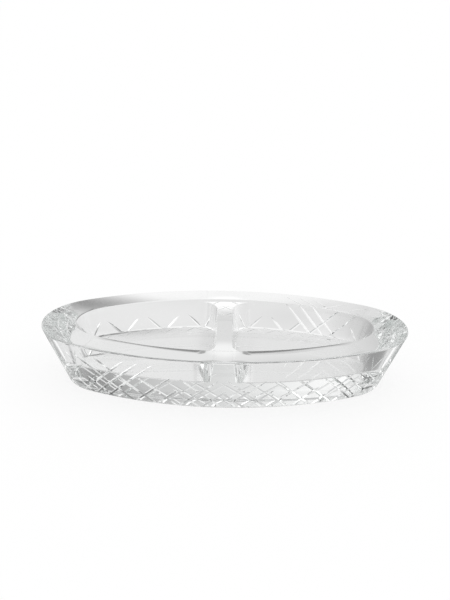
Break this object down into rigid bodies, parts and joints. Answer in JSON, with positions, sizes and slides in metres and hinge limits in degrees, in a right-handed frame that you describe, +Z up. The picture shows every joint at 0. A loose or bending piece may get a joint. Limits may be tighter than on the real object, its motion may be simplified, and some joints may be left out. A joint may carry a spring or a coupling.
{
  "type": "relish tray",
  "caption": "Oval crystal tray with a broad flat rim, a divider between its compartments and criss-cross cuts round its sloping wall, for serving relishes.",
  "frame": {"origin": "middle of the flat foot, on the surface that the tray stands on", "axes": "+X along the length, from one compartment to the other; +Y across the width, along the divider; +Z up"},
  "size_m": [0.28, 0.156, 0.0448],
  "materials": {
    "crystal": "polished, clear"
  },
  "bodies": {
    "root": {"tray": "crystal"}
  },
  "joints": []
}
